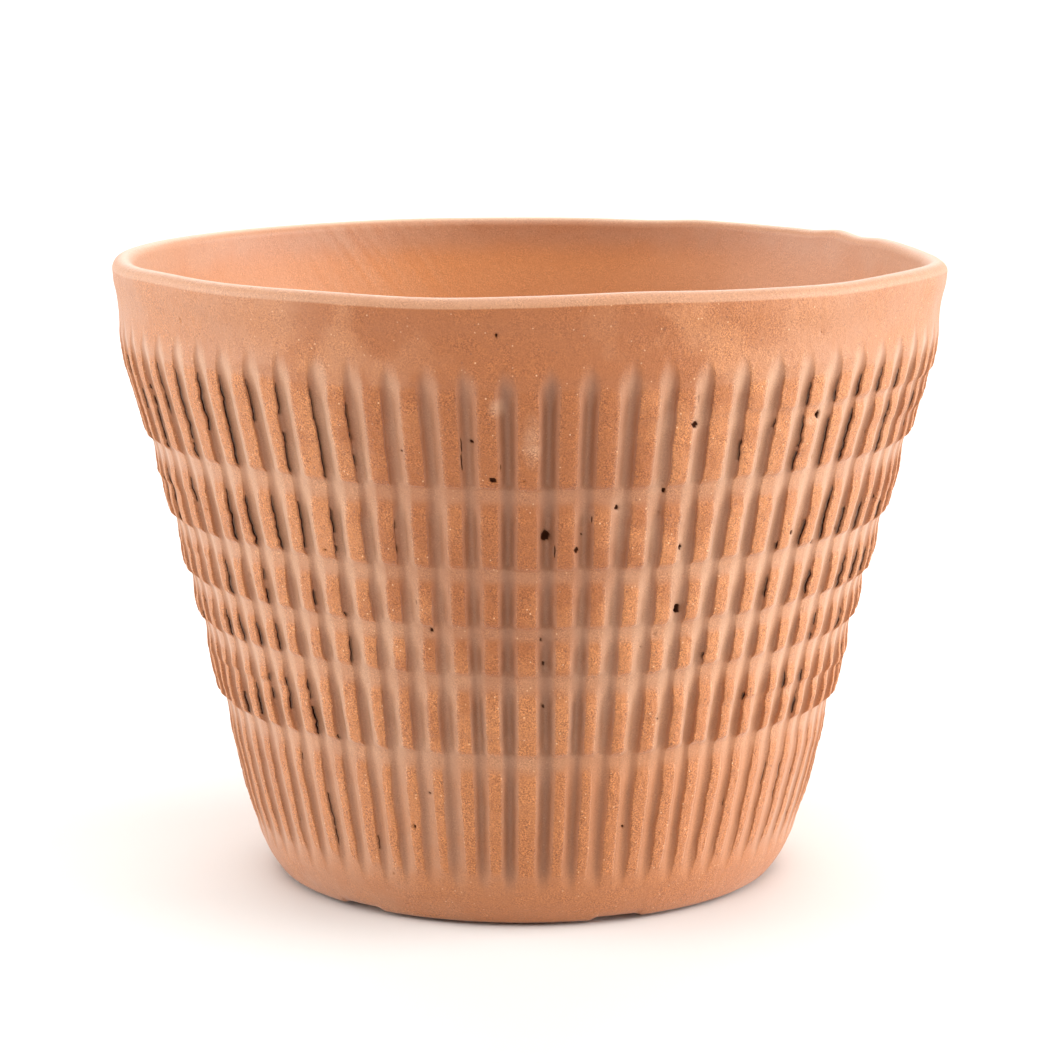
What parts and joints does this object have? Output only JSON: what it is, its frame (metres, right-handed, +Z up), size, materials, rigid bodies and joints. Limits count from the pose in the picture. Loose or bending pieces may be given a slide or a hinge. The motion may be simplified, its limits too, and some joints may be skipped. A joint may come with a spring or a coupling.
{
  "type": "fluted terracotta plant pot",
  "caption": "Tapered round terracotta plant pot, open at the top, with a fluted and ringed outer wall, a plain rim band, a notched foot ring and a central drainage hole.",
  "frame": {"origin": "on the surface the pot stands on, below the centre of the rim", "axes": "+Z up along the pot's axis, from the foot to the rim; the pot is round, so +X and +Y are free"},
  "size_m": [0.165, 0.165, 0.1241],
  "materials": {
    "terracotta": null
  },
  "bodies": {
    "root": {"fluted_pot": "terracotta"}
  },
  "joints": []
}
